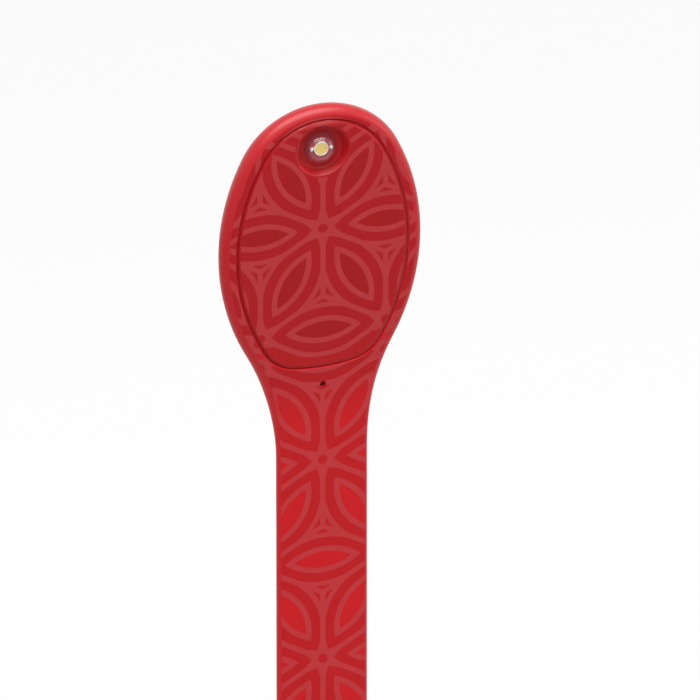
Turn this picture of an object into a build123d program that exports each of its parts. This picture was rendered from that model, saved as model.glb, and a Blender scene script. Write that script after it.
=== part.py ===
from build123d import *
import os
from math import atan2, degrees, dist, hypot, sqrt

# A slim reading light that marks a page: a racquet-shaped head on a flat tail that bends at its neck.
# Sizes are in millimetres. +Z runs up the light and -Y is its front.
# The origin is the middle of the tail's lower end, half way through its thickness.

# Outer form
overall_length = 185.0
head_width = 42.0
crown_height = 31.1  # from the head's widest line up to its top
crown_side_radius = 47.5
jaw_side_radius = 48.5
neck_sweep_radius = 50.0
head_thickness = 4.8
slope_drop = 27.2  # from the widest line down to where the head starts to thin
rim_round = 2.0
back_round = 2.6
tail_width = 19.0
tail_thickness = 2.0
tail_round = 0.9
tail_corner = 6.0
neck_steps = 3

# Flexible neck: a soft-metal strip moulded into the skin, which bends at three stations
bend_names = ("lower", "middle", "upper")
bend_pitch = 14.0
strip_width = 10.0
strip_thickness = 0.5
strip_fit = 0.05
strip_bend_gap = 0.3  # from a bend's axis to the strip on each side
strip_foot = 14.0
strip_head_gap = 1.5  # from the panel's lower end down to the strip
locating_hole_radius = 0.65
locating_hole_drop = 3.9  # below the panel's lower end
anchor_hole_radius = 1.6
anchor_hole_pitch = 12.0
anchor_hole_count = 3

# Face panel, closed all round by its seam
panel_width = 35.9
panel_top_margin = 2.45
panel_height = 55.3
panel_crown_side_radius = 44.0
panel_jaw_side_radius = 44.0
panel_corner_radius = 8.0
panel_base_radius = 35.5
panel_thickness = 0.9
panel_gap = 0.3
panel_edge_fall = 0.22
panel_edge_width = 0.7
seam_chamfer = 0.15
ledge_width = 1.0
peg_radius = 0.75
peg_length = 1.7
peg_fit = 0.05
peg_inset = 2.8  # from the panel's outline
peg_heights = (21.5, 0.0, -21.5)  # from the widest line

# Lamp in its dish
led_drop = 9.2  # from the head's top down to the lamp's axis
dish_radius = 5.5  # at the face, before its lip is rounded
dish_floor_radius = 4.5
dish_depth = 1.7
dish_wall = 0.35
dish_boss_inset = 0.2
dish_round = 0.45
lens_radius = 3.3
lens_fit = 0.05
lens_dome_height = 2.5
lens_flange_width = 0.4
lens_flange_thickness = 0.35
lens_sink = 0.1  # from the dish's floor forward to the foot of the dome
lens_pocket_radius = 2.3
lens_pocket_gap = 0.1
phosphor_radius = 1.0
phosphor_thickness = 0.3
phosphor_depth = 1.4  # behind the face
anvil_margin = 0.15
anvil_thickness = 0.2
anvil_arm_width = 0.5
post_offset = 1.6
post_radius = 0.28

# Skin, inner frame and the gaps between them
rear_wall = 1.0
stack_gap = 0.05
frame_gap = 0.15
well_floor = 0.65

# Two coin cells, side by side in height
cell_radius = 10.0
cell_height = 1.6
cell_bevel = 0.25
cell_step = 0.25
cell_step_width = 1.1
cell_gap = 0.2
cell_web = 0.6
cell_stack_drop = 4.1  # from the widest line down to half way between the cells

# Stamped contacts
contact_thickness = 0.2
contact_width = 2.5
contact_fit = 0.2
contact_rise = 0.1
contact_pad_radius = 2.2
contact_bump_radius = 1.2
contact_tab_width = 2.0
contact_tab_drop = 3.0  # from the board's middle down to the top of the tabs soldered to its edges
contact_tab_gap = 0.1
contact_web = 0.75  # of the frame, between the upper well and the long contact's groove
link_width = 4.0
link_swing_gap = 0.3

# Circuit board, switch and button, on the back of the lamp
board_width = 11.0
board_height = 8.0
board_thickness = 0.5
board_corner = 0.8
board_fit = 0.15
board_drop = 9.4  # from the head's top down to the board's middle
button_drop = 8.0
ledge_hole_radius = 3.0
chip_length = 2.0
chip_width = 1.25
chip_height = 0.45
chip_margin = 0.8  # from the board's side, and half of it from the board's lower edge
switch_size = 4.0
switch_corner = 0.4
switch_height = 0.55
switch_floor = 0.05
plunger_radius = 0.9
running_fit = 0.08
button_radius = 4.0
button_flange_width = 0.6
button_flange_thickness = 0.3
button_flange_gap = 0.3
button_lip = 0.4
button_travel = 0.3
button_recess = 0.05
button_wall = 0.4
button_bevel = 0.15
button_dimple_radius = 2.8
button_dimple_depth = 0.15

# Battery door, with two tabs on its left edge and a screw on its right
door_margin = 1.0
door_thickness = 0.9
door_gap = 0.2
door_bevel = 0.2
tab_pitch = 7.2
tab_width = 4.0
tab_root = 1.6
tab_tip = 1.3
tab_thickness = 0.5
tab_under_gap = 0.1
tab_swing_gap = 0.2
screw_offset = 8.0
screw_head_radius = 1.5
screw_head_height = 0.5
screw_radius = 0.8
screw_fit = 0.1
screw_bevel = 0.1
screw_hole_fit = 0.3  # lets the screw swing out with the door
screw_length = 2.6
screw_slot_length = 1.8
screw_slot_width = 0.4
screw_slot_depth = 0.3

# Places that follow from the sizes above
widest_z = overall_length - crown_height
slope_top_z = widest_z - slope_drop
panel_base_z = overall_length - panel_top_margin - panel_height
strip_top_z = panel_base_z - strip_head_gap
locating_z = panel_base_z - locating_hole_drop
front_y = -tail_thickness / 2
rear_y = front_y + head_thickness
tail_rear_y = tail_thickness / 2
panel_back_y = front_y + panel_thickness
rear_wall_y = rear_y - rear_wall
frame_front_y = panel_back_y + stack_gap
frame_rear_y = rear_wall_y - stack_gap
well_y = frame_front_y + well_floor
cell_front_y = well_y + contact_thickness + contact_rise
cell_rear_y = cell_front_y + cell_height
door_y = rear_y - door_thickness
led_z = overall_length - led_drop
dish_floor_y = front_y + dish_depth
dish_back_y = dish_floor_y + dish_wall
lens_back_y = dish_back_y + lens_flange_thickness
lens_rim_y = dish_floor_y - lens_sink
phosphor_y = front_y + phosphor_depth
anvil_y = phosphor_y + phosphor_thickness
dish_boss_radius = dish_radius - dish_boss_inset
board_z = overall_length - board_drop
board_rear_y = rear_wall_y - switch_height
board_front_y = board_rear_y - board_thickness
button_z = overall_length - button_drop
button_rear_y = rear_y - button_recess
flange_seat_y = rear_y - button_lip
flange_rear_y = flange_seat_y - stack_gap
flange_front_y = flange_rear_y - button_flange_thickness
pocket_floor_y = flange_front_y - button_travel - stack_gap
plunger_front_y = board_rear_y + switch_floor + button_travel + stack_gap
plunger_rear_y = rear_wall_y + button_travel
cells_z = widest_z - cell_stack_drop
well_radius = cell_radius + cell_gap
cell_pitch = 2 * well_radius + cell_web
upper_cell_z = cells_z + cell_pitch / 2
lower_cell_z = cells_z - cell_pitch / 2
side_run_x = well_radius + contact_web + contact_fit + contact_width / 2
door_radius = well_radius + door_margin
hinge_x = -door_radius
link_front_y = door_y - contact_thickness
tab_rear_y = rear_wall_y - tab_under_gap
tab_front_y = tab_rear_y - tab_thickness
contact_tab_x = board_width / 2 + contact_tab_gap + contact_thickness / 2
contact_tab_z = board_z - contact_tab_drop
long_contact_path = (
    (0, lower_cell_z),
    (-well_radius + contact_width / 2, cells_z),
    (-side_run_x, cells_z + well_radius / 2),
    (-side_run_x, upper_cell_z + well_radius / 2),
    (-contact_tab_x, contact_tab_z),
)
short_contact_path = (
    (0, upper_cell_z),
    (contact_tab_x, upper_cell_z + contact_tab_x),
    (contact_tab_x, contact_tab_z),
)


def front_plane(depth):
    """Sketch plane across the light at a depth. An extrusion from it grows towards the front."""
    return Plane.XZ.offset(-depth)


def along(start, end, distance):
    """Point at a distance from start, on the line to end."""
    share = distance / dist(start, end)
    return tuple(a + share * (b - a) for a, b in zip(start, end))


def circles_meet(centre_a, radius_a, centre_b, radius_b):
    """Right-hand point where two circles cross, for centres one above the other or nearly so."""
    apart = dist(centre_a, centre_b)
    reach = (radius_a**2 - radius_b**2 + apart**2) / (2 * apart)
    half_chord = sqrt(radius_a**2 - reach**2)
    foot = along(centre_a, centre_b, reach)
    side = ((centre_b[1] - centre_a[1]) / apart, (centre_a[0] - centre_b[0]) / apart)
    crossings = [(foot[0] + k * half_chord * side[0], foot[1] + k * half_chord * side[1]) for k in (-1, 1)]
    return max(crossings, key=lambda point: point[0])


def crown_arcs(half_width, height, side_radius):
    """The two arcs, as centre, start and end, from an oval's top round to its widest point."""
    top_radius = (half_width**2 - 2 * half_width * side_radius + height**2) / (2 * (height - side_radius))
    top_centre = (0, widest_z + height - top_radius)
    side_centre = (half_width - side_radius, widest_z)
    meet = along(side_centre, top_centre, side_radius)
    return [(top_centre, (0, widest_z + height), meet), (side_centre, meet, (half_width, widest_z))]


def racquet_arcs():
    """Right-hand arcs of the head's outline, from its top down to where it meets the straight tail."""
    half_width = head_width / 2
    jaw_centre = (half_width - jaw_side_radius, widest_z)
    neck_x = tail_width / 2 + neck_sweep_radius
    neck_drop = sqrt((jaw_side_radius + neck_sweep_radius) ** 2 - (neck_x - jaw_centre[0]) ** 2)
    neck_centre = (neck_x, widest_z - neck_drop)
    meet = along(jaw_centre, neck_centre, jaw_side_radius)
    return crown_arcs(half_width, crown_height, crown_side_radius) + [
        (jaw_centre, (half_width, widest_z), meet),
        (neck_centre, meet, (tail_width / 2, neck_centre[1])),
    ]


def panel_arcs(inset):
    """Right-hand arcs of the panel's seam line, from its top down to its base, moved inwards by inset."""
    half_width = panel_width / 2 - inset
    height = crown_height - panel_top_margin - inset
    jaw_radius = panel_jaw_side_radius - inset
    corner_radius = panel_corner_radius - inset
    base_radius = panel_base_radius - inset
    base_z = panel_base_z + inset
    jaw_centre = (half_width - jaw_radius, widest_z)
    base_centre = (0, base_z + base_radius)
    corner_centre = circles_meet(
        jaw_centre, jaw_radius - corner_radius, base_centre, base_radius - corner_radius
    )
    corner_start = along(jaw_centre, corner_centre, jaw_radius)
    corner_end = along(base_centre, corner_centre, base_radius)
    return crown_arcs(half_width, height, panel_crown_side_radius - inset) + [
        (jaw_centre, (half_width, widest_z), corner_start),
        (corner_centre, corner_start, corner_end),
        (base_centre, corner_end, (0, base_z)),
    ]


head_arcs = racquet_arcs()
neck_z = head_arcs[-1][2][1]
bend_z = [neck_z - bend_pitch * (0.5 + len(bend_names) - 1 - k) for k in range(len(bend_names))]
sleeve_z = [neck_z - bend_pitch * (len(bend_names) - k) for k in range(len(bend_names) + 1)]


def draw_arc(centre, start, end):
    """One arc about its centre, the short way from start to end."""
    first = degrees(atan2(start[1] - centre[1], start[0] - centre[0]))
    last = degrees(atan2(end[1] - centre[1], end[0] - centre[0]))
    CenterArc(centre, dist(centre, start), first, (last - first + 180) % 360 - 180)


def panel_sketch(depth, inset):
    """Closed face of the panel's outline at a depth, moved inwards by inset."""
    with BuildSketch(front_plane(depth)) as face:
        with BuildLine():
            for arc in panel_arcs(inset):
                draw_arc(*arc)
            mirror(about=Plane.YZ)
        make_face()
    return face.sketch


def door_sketch(depth, radius):
    """Round-ended outline of the battery door, or of its opening, at a depth."""
    with BuildSketch(front_plane(depth)) as face:
        with Locations((0, cells_z)):
            SlotOverall(cell_pitch + 2 * radius, 2 * radius, rotation=90)
    return face.sketch


def outline_at(height, arcs):
    """Half an outline's width at a height, and the cosine of its side's lean there."""
    for centre, start, end in arcs:
        if end[1] - 1e-9 <= height <= start[1]:
            radius = dist(centre, start)
            across = sqrt(radius**2 - (height - centre[1]) ** 2)
            side = -1 if centre[0] > end[0] else 1
            return centre[0] + side * across, across / radius


peg_outline = panel_arcs(peg_inset)
peg_places = [(outline_at(widest_z + height, peg_outline)[0], widest_z + height) for height in peg_heights]


def neck_section(height):
    """Cross-section of the thinning neck: its back falls to the tail's, and its corners tighten."""
    rise = (height - neck_z) / (slope_top_z - neck_z)
    ease = rise * rise * (3 - 2 * rise)
    half_width, lean = outline_at(height, head_arcs)
    back = tail_rear_y + ease * (rear_y - tail_rear_y)
    deep = tail_round + ease * (rim_round - tail_round)
    back_deep = tail_round + ease * (back_round - tail_round)
    wide = deep / lean
    back_wide = back_deep / lean
    with BuildSketch(Plane.XY.offset(height)) as section:
        with BuildLine():
            Line((wide - half_width, front_y), (half_width - wide, front_y))
            EllipticalCenterArc((half_width - wide, front_y + deep), wide, deep, 270, arc_size=90)
            Line((half_width, front_y + deep), (half_width, back - back_deep))
            back_corner = (half_width - back_wide, back - back_deep)
            EllipticalCenterArc(back_corner, back_wide, back_deep, 0, arc_size=90)
            Line((half_width - back_wide, back), (back_wide - half_width, back))
            back_corner = (back_wide - half_width, back - back_deep)
            EllipticalCenterArc(back_corner, back_wide, back_deep, 90, arc_size=90)
            Line((-half_width, back - back_deep), (-half_width, front_y + deep))
            EllipticalCenterArc((wide - half_width, front_y + deep), wide, deep, 180, arc_size=90)
        make_face()
    return section.sketch


def strip_slot(low, high):
    """Space that the bendable strip fills in a moulding, from one height to another."""
    with BuildPart(mode=Mode.PRIVATE) as slot:
        with BuildSketch(Plane.XY.offset(low)):
            Rectangle(strip_width + 2 * strip_fit, strip_thickness + 2 * strip_fit)
        extrude(amount=high - low)
    return slot.part


def disc(height, radius, front, rear, x=0):
    """Round bar along the light's depth, between two depths."""
    with BuildPart(mode=Mode.PRIVATE) as bar:
        with BuildSketch(front_plane(rear)):
            with Locations((x, height)):
                Circle(radius)
        extrude(amount=rear - front)
    return bar.part


def block(x, height, width, tall, front, rear):
    """Square bar along the light's depth, about a place on the face, between two depths."""
    with BuildPart(mode=Mode.PRIVATE) as bar:
        with BuildSketch(front_plane(rear)):
            with Locations((x, height)):
                Rectangle(width, tall)
        extrude(amount=rear - front)
    return bar.part


def contact_strip(path, margin, front, rear):
    """Flat strip along a path of points on the face, widened by a margin, between two depths."""
    with BuildPart(mode=Mode.PRIVATE) as strip:
        with BuildSketch(front_plane(rear)):
            with BuildLine():
                Polyline(*path)
            trace(line_width=contact_width + 2 * margin)
            with Locations(path[0]):
                Circle(contact_pad_radius + margin)
        extrude(amount=rear - front)
    return strip.part


def coin_cell(height, cap_in_front):
    """Coin cell at a height, its stepped cap turned to the front or to the back."""
    step_y = cell_front_y + cell_step if cap_in_front else cell_rear_y
    with BuildPart() as cell:
        add(disc(height, cell_radius, cell_front_y, cell_rear_y))
        with BuildSketch(front_plane(step_y)):
            with Locations((0, height)):
                Circle(cell_radius)
                Circle(cell_radius - cell_step_width, mode=Mode.SUBTRACT)
        extrude(amount=cell_step, mode=Mode.SUBTRACT)
        rings = cell.edges().filter_by(GeomType.CIRCLE).sort_by(Axis.Y)
        chamfer(rings[-1] if cap_in_front else rings[0], cell_bevel)
    return cell


def board_contact(path):
    """Stamped contact under a cell, with a tab that stands up beside the circuit board."""
    x, end_z = path[-1]
    tab_z = end_z - contact_tab_width / 2
    with BuildPart() as contact:
        add(contact_strip(path, 0, well_y, well_y + contact_thickness))
        add(disc(path[0][1], contact_bump_radius, well_y + contact_thickness, cell_front_y))
        add(block(x, tab_z, contact_thickness, contact_tab_width, well_y, board_rear_y))
    return contact


def bend_strip(low, high, holes, hole_radius):
    """A length of the bendable strip, with round holes on its middle line."""
    with BuildPart() as strip:
        with BuildSketch(Plane.XY.offset(low)):
            Rectangle(strip_width, strip_thickness)
        extrude(amount=high - low)
        for height in holes:
            add(disc(height, hole_radius, -strip_thickness, strip_thickness), mode=Mode.SUBTRACT)
    return strip


# Soft-touch moulding of the head: a rounded plate above, thinning into the neck below.
with BuildPart() as head_skin:
    with BuildSketch(front_plane(rear_y)):
        with BuildLine():
            for arc in head_arcs:
                draw_arc(*arc)
            Line((tail_width / 2, neck_z), (0, neck_z))
            mirror(about=Plane.YZ)
        make_face()
    extrude(amount=head_thickness)
    split(bisect_by=Plane.XY.offset(slope_top_z), keep=Keep.TOP)
    for side, radius in ((0, rim_round), (-1, back_round)):
        plate_face = head_skin.faces().filter_by(Axis.Y).sort_by(Axis.Y)[side]
        fillet(plate_face.edges().filter_by(GeomType.CIRCLE), radius)
    plate_end = head_skin.faces().sort_by(Axis.Z)[0]
    neck_heights = [neck_z + (slope_top_z - neck_z) * k / neck_steps for k in range(neck_steps)]
    loft([neck_section(height) for height in neck_heights] + [plate_end])
    # Seat of the face panel, with a small lead-in at its edge, and the hollow behind it.
    extrude(panel_sketch(panel_back_y, -panel_gap / 2), amount=panel_thickness, mode=Mode.SUBTRACT)
    extrude(
        panel_sketch(front_y + seam_chamfer, -panel_gap / 2),
        amount=seam_chamfer,
        taper=-45,
        mode=Mode.SUBTRACT,
    )
    extrude(
        panel_sketch(rear_wall_y, ledge_width), amount=rear_wall_y - panel_back_y, mode=Mode.SUBTRACT
    )
    # Openings in the rear wall for the battery door and the button.
    extrude(door_sketch(rear_y, door_radius + door_gap), amount=rear_wall, mode=Mode.SUBTRACT)
    add(disc(button_z, button_radius + running_fit, rear_wall_y, rear_y), mode=Mode.SUBTRACT)
    button_pocket_radius = button_radius + button_flange_width + button_flange_gap
    button_pocket = disc(button_z, button_pocket_radius, pocket_floor_y, flange_seat_y)
    add(button_pocket, mode=Mode.SUBTRACT)
    # The strip's slot and the hole left by the mould's locating pin.
    add(strip_slot(neck_z, strip_top_z + strip_fit), mode=Mode.SUBTRACT)
    add(disc(locating_z, locating_hole_radius, front_y, 0), mode=Mode.SUBTRACT)
head_skin.part.label = "head_skin"

# Face panel: its border falls away a little, and the lamp's dish is sunk into its upper end.
with BuildPart() as face_panel:
    extrude(panel_sketch(panel_back_y, panel_gap / 2), amount=panel_thickness)
    face = face_panel.faces().sort_by(Axis.Y)[0]
    chamfer(face.edges(), panel_edge_width, panel_edge_fall, reference=face)
    add(disc(led_z, dish_boss_radius, panel_back_y, dish_back_y))
    with BuildSketch(front_plane(dish_floor_y)):
        with Locations((0, led_z)):
            Circle(dish_floor_radius)
    dish_lean = degrees(atan2(dish_radius - dish_floor_radius, dish_depth))
    extrude(amount=dish_depth, taper=-dish_lean, mode=Mode.SUBTRACT)
    rings = face_panel.edges().filter_by(lambda edge: edge.is_closed).sort_by(Axis.Y)
    lip, boss_root, floor_ring, boss_end = rings
    fillet((lip, floor_ring), dish_round)
    add(disc(led_z, lens_radius + lens_fit, front_y, dish_back_y), mode=Mode.SUBTRACT)
    for x, height in peg_places:
        for side in (-1, 1):
            add(disc(height, peg_radius, panel_back_y, panel_back_y + peg_length, side * x))
face_panel.part.label = "face_panel"

# Inner frame: it carries the cells in two wells, and the circuit board on a ledge behind the lamp.
with BuildPart() as inner_frame:
    extrude(
        panel_sketch(frame_rear_y, ledge_width + frame_gap), amount=frame_rear_y - frame_front_y
    )
    for height in (lower_cell_z, upper_cell_z):
        add(disc(height, well_radius, well_y, frame_rear_y), mode=Mode.SUBTRACT)
    add(disc(led_z, dish_boss_radius + frame_gap, frame_front_y, lens_back_y), mode=Mode.SUBTRACT)
    add(disc(led_z, ledge_hole_radius, lens_back_y, board_front_y), mode=Mode.SUBTRACT)
    board_pocket_width = 2 * (contact_tab_x + contact_thickness + board_fit)
    board_pocket_height = board_height + 2 * board_fit
    add(
        block(0, board_z, board_pocket_width, board_pocket_height, board_front_y, frame_rear_y),
        mode=Mode.SUBTRACT,
    )
    add(button_pocket, mode=Mode.SUBTRACT)
    for path in (long_contact_path, short_contact_path):
        add(contact_strip(path, contact_fit, well_y, frame_rear_y), mode=Mode.SUBTRACT)
    # Room for the door's link contact, its swinging tabs and its screw.
    link_notch_width = link_width + 2 * link_swing_gap
    link_notch_y = link_front_y - link_swing_gap
    add(
        block(0, cells_z, link_notch_width, cell_pitch, link_notch_y, frame_rear_y),
        mode=Mode.SUBTRACT,
    )
    tab_swing = hypot(max(tab_tip, tab_root), rear_y - tab_front_y) + tab_swing_gap
    for side in (-1, 1):
        with Locations((hinge_x, rear_y, cells_z + side * tab_pitch / 2)):
            Cylinder(tab_swing, tab_width + 2 * tab_swing_gap, mode=Mode.SUBTRACT)
    screw_hole_y = rear_y - screw_length - screw_hole_fit
    add(
        disc(cells_z, screw_radius + screw_hole_fit, screw_hole_y, frame_rear_y, screw_offset),
        mode=Mode.SUBTRACT,
    )
    peg_end_y = panel_back_y + peg_length + peg_fit
    for x, height in peg_places:
        for side in (-1, 1):
            peg_hole = disc(height, peg_radius + peg_fit, frame_front_y, peg_end_y, side * x)
            add(peg_hole, mode=Mode.SUBTRACT)
inner_frame.part.label = "inner_frame"

# Lamp: a clear domed lens over a phosphor disc on its lead frame.
with BuildPart() as led_lens:
    dome_sphere = (lens_radius**2 + lens_dome_height**2) / (2 * lens_dome_height)
    flange_radius = lens_radius + lens_flange_width
    with BuildSketch(Plane.XY.offset(led_z)):
        with BuildLine():
            dome_top = (0, lens_rim_y - lens_dome_height)
            dome_foot = (lens_radius, lens_rim_y)
            draw_arc((0, dome_top[1] + dome_sphere), dome_foot, dome_top)
            Polyline(
                dome_foot,
                (lens_radius, dish_back_y),
                (flange_radius, dish_back_y),
                (flange_radius, lens_back_y),
                (0, lens_back_y),
                dome_top,
            )
        make_face()
    revolve(axis=Axis((0, 0, led_z), (0, 1, 0)))
    add(disc(led_z, lens_pocket_radius, phosphor_y - lens_pocket_gap, lens_back_y), mode=Mode.SUBTRACT)
led_lens.part.label = "led_lens"

with BuildPart() as led_phosphor:
    add(disc(led_z, phosphor_radius, phosphor_y, anvil_y))
led_phosphor.part.label = "led_phosphor"

# The phosphor's anvil hangs on the left post, and the right post stands free of it.
with BuildPart() as led_lead_frame:
    anvil_back_y = anvil_y + anvil_thickness
    add(disc(led_z, phosphor_radius + anvil_margin, anvil_y, anvil_back_y))
    add(block(-post_offset / 2, led_z, post_offset, anvil_arm_width, anvil_y, anvil_back_y))
    for side in (-1, 1):
        add(disc(led_z, post_radius, phosphor_y, board_front_y, side * post_offset))
led_lead_frame.part.label = "led_lead_frame"

# Circuit board with its resistor and switch.
with BuildPart() as circuit_board:
    with BuildSketch(front_plane(board_rear_y)):
        with Locations((0, board_z)):
            RectangleRounded(board_width, board_height, board_corner)
    extrude(amount=board_thickness)
circuit_board.part.label = "circuit_board"

with BuildPart() as resistor:
    chip_x = (chip_length - board_width) / 2 + chip_margin
    chip_z = board_z + (chip_width - board_height + chip_margin) / 2
    add(block(chip_x, chip_z, chip_length, chip_width, board_rear_y, board_rear_y + chip_height))
resistor.part.label = "resistor"

with BuildPart() as switch_body:
    add(block(0, button_z, switch_size, switch_size, board_rear_y, board_rear_y + switch_height))
    fillet(switch_body.edges().filter_by(Axis.Y), switch_corner)
    plunger_hole = disc(
        button_z,
        plunger_radius + running_fit,
        board_rear_y + switch_floor,
        board_rear_y + switch_height,
    )
    add(plunger_hole, mode=Mode.SUBTRACT)
switch_body.part.label = "switch_body"

with BuildPart() as switch_plunger:
    add(disc(button_z, plunger_radius, plunger_front_y, plunger_rear_y))
switch_plunger.part.label = "switch_plunger"

# Push button in the back: a dished cap with a flange that keeps it in, and a stem on the plunger.
with BuildPart() as power_button:
    add(disc(button_z, button_radius, flange_front_y, button_rear_y))
    cap_face = power_button.faces().sort_by(Axis.Y)[-1]
    chamfer(cap_face.edges(), button_bevel)
    add(disc(button_z, button_radius + button_flange_width, flange_front_y, flange_rear_y))
    add(
        disc(button_z, button_radius - button_wall, flange_front_y, flange_rear_y),
        mode=Mode.SUBTRACT,
    )
    add(disc(button_z, plunger_radius, plunger_rear_y, button_rear_y))
    dimple_sphere = (button_dimple_radius**2 + button_dimple_depth**2) / (2 * button_dimple_depth)
    with Locations((0, button_rear_y - button_dimple_depth + dimple_sphere, button_z)):
        Sphere(dimple_sphere, mode=Mode.SUBTRACT)
power_button.part.label = "power_button"

# The two cells lie opposite ways round, so the link behind them joins them in a row.
cell_lower = coin_cell(lower_cell_z, True)
cell_lower.part.label = "cell_lower"
cell_upper = coin_cell(upper_cell_z, False)
cell_upper.part.label = "cell_upper"

contact_negative = board_contact(long_contact_path)
contact_negative.part.label = "contact_negative"
contact_positive = board_contact(short_contact_path)
contact_positive.part.label = "contact_positive"

with BuildPart() as contact_link:
    with BuildSketch(front_plane(door_y)):
        with Locations((0, cells_z)):
            SlotOverall(cell_pitch + 2 * link_width, link_width, rotation=90)
    extrude(amount=contact_thickness)
    for height in (lower_cell_z, upper_cell_z):
        add(disc(height, contact_bump_radius, cell_rear_y, link_front_y))
contact_link.part.label = "contact_link"

# Battery door: it swings on the tabs at its left edge once the screw at its right is out.
with BuildPart() as battery_door:
    extrude(door_sketch(rear_y, door_radius), amount=door_thickness)
    outer_face = battery_door.faces().sort_by(Axis.Y)[-1]
    chamfer(outer_face.edges(), door_bevel)
    for side in (-1, 1):
        tab_z = cells_z + side * tab_pitch / 2
        add(block(hinge_x + tab_root / 2, tab_z, tab_root, tab_width, tab_front_y, door_y))
        tab_length = tab_tip + tab_root
        tab_x = hinge_x + (tab_root - tab_tip) / 2
        add(block(tab_x, tab_z, tab_length, tab_width, tab_front_y, tab_rear_y))
    screw_seat_y = rear_y - stack_gap - screw_head_height
    add(
        disc(cells_z, screw_head_radius + screw_fit, screw_seat_y, rear_y, screw_offset),
        mode=Mode.SUBTRACT,
    )
    add(disc(cells_z, screw_radius + screw_fit, door_y, rear_y, screw_offset), mode=Mode.SUBTRACT)
battery_door.part.label = "battery_door"

with BuildPart() as door_screw:
    screw_top_y = screw_seat_y + screw_head_height
    add(disc(cells_z, screw_head_radius, screw_seat_y, screw_top_y, screw_offset))
    chamfer(door_screw.faces().sort_by(Axis.Y)[-1].edges(), screw_bevel)
    add(disc(cells_z, screw_radius, rear_y - screw_length, screw_seat_y, screw_offset))
    with BuildSketch(front_plane(screw_top_y)):
        with Locations((screw_offset, cells_z)):
            Rectangle(screw_slot_length, screw_slot_width)
            Rectangle(screw_slot_width, screw_slot_length)
    extrude(amount=screw_slot_depth, mode=Mode.SUBTRACT)
door_screw.part.label = "door_screw"

# Flexible neck: one soft sleeve round each bend, and the strip inside in four lengths.
neck_sleeves = []
for name, low, high in zip(bend_names, sleeve_z, sleeve_z[1:]):
    with BuildPart() as sleeve:
        with BuildSketch(Plane.XY.offset(low)):
            RectangleRounded(tail_width, tail_thickness, tail_round)
        extrude(amount=high - low)
        add(strip_slot(low, high), mode=Mode.SUBTRACT)
    sleeve.part.label = f"neck_sleeve_{name}"
    neck_sleeves.append(sleeve)

anchor_z = [strip_foot + anchor_hole_pitch * (k + 0.5) for k in range(anchor_hole_count)]
strip_tail = bend_strip(strip_foot, bend_z[0] - strip_bend_gap, anchor_z, anchor_hole_radius)
strip_tail.part.label = "bend_strip_tail"
strip_lower = bend_strip(bend_z[0] + strip_bend_gap, bend_z[1] - strip_bend_gap, (), 0)
strip_lower.part.label = "bend_strip_lower"
strip_upper = bend_strip(bend_z[1] + strip_bend_gap, bend_z[2] - strip_bend_gap, (), 0)
strip_upper.part.label = "bend_strip_upper"
strip_head = bend_strip(bend_z[2] + strip_bend_gap, strip_top_z, (locating_z,), locating_hole_radius)
strip_head.part.label = "bend_strip_head"

# Tail blade: flat, soft-edged, and keyed through the strip's holes.
with BuildPart() as tail_blade:
    blade_top = sleeve_z[0]
    with BuildSketch(front_plane(tail_rear_y)) as blade_face:
        with Locations((0, blade_top / 2)):
            Rectangle(tail_width, blade_top)
        fillet(blade_face.vertices().group_by(Axis.Y)[0], tail_corner)
    extrude(amount=tail_thickness)
    blade_edges = tail_blade.faces().filter_by(Axis.Y).edges()
    fillet(blade_edges.filter_by_position(Axis.Z, 0, blade_top - tail_round), tail_round)
    add(strip_slot(strip_foot - strip_fit, blade_top), mode=Mode.SUBTRACT)
    slot_half = strip_thickness / 2 + strip_fit
    for height in anchor_z:
        add(disc(height, anchor_hole_radius - strip_fit, -slot_half, slot_half))
tail_blade.part.label = "tail_blade"

pieces = [
    head_skin,
    face_panel,
    inner_frame,
    led_lens,
    led_phosphor,
    led_lead_frame,
    circuit_board,
    resistor,
    switch_body,
    switch_plunger,
    power_button,
    cell_lower,
    cell_upper,
    contact_negative,
    contact_positive,
    contact_link,
    battery_door,
    door_screw,
    *neck_sleeves,
    strip_tail,
    strip_lower,
    strip_upper,
    strip_head,
    tail_blade,
]
os.makedirs("parts", exist_ok=True)
for piece in pieces:
    export_step(piece.part, f"parts/{piece.part.label}.step")
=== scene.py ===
"""Looks of a slim page light with a bendable neck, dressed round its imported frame.

Blender works in metres. Sizes below are in millimetres and are turned to metres by MM.
Z runs up the light and -Y is its front.
"""

import logging
import math
from dataclasses import dataclass
from enum import Enum
from typing import Callable

import bpy
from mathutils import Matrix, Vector


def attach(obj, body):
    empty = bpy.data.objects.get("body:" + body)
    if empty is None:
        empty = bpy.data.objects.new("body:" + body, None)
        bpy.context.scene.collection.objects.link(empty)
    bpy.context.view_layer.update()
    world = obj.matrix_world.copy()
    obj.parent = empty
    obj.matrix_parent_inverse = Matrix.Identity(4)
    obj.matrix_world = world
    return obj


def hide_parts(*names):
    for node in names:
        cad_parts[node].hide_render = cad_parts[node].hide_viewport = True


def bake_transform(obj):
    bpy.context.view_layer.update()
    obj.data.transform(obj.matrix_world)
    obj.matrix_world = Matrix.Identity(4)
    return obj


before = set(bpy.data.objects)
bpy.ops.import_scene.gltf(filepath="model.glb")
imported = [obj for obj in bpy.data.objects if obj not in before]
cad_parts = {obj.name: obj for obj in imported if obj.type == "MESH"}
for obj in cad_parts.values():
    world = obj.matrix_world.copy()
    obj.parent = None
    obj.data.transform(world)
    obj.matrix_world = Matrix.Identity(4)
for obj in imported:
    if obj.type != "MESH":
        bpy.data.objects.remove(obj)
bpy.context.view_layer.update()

MM = 0.001
log = logging.getLogger("page_light")

Tree = bpy.types.NodeTree
Socket = bpy.types.NodeSocket
Piece = bpy.types.Object
Pair = tuple[float, float]
Triple = tuple[float, float, float]

SIN_60 = math.sqrt(3) / 2
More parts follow.
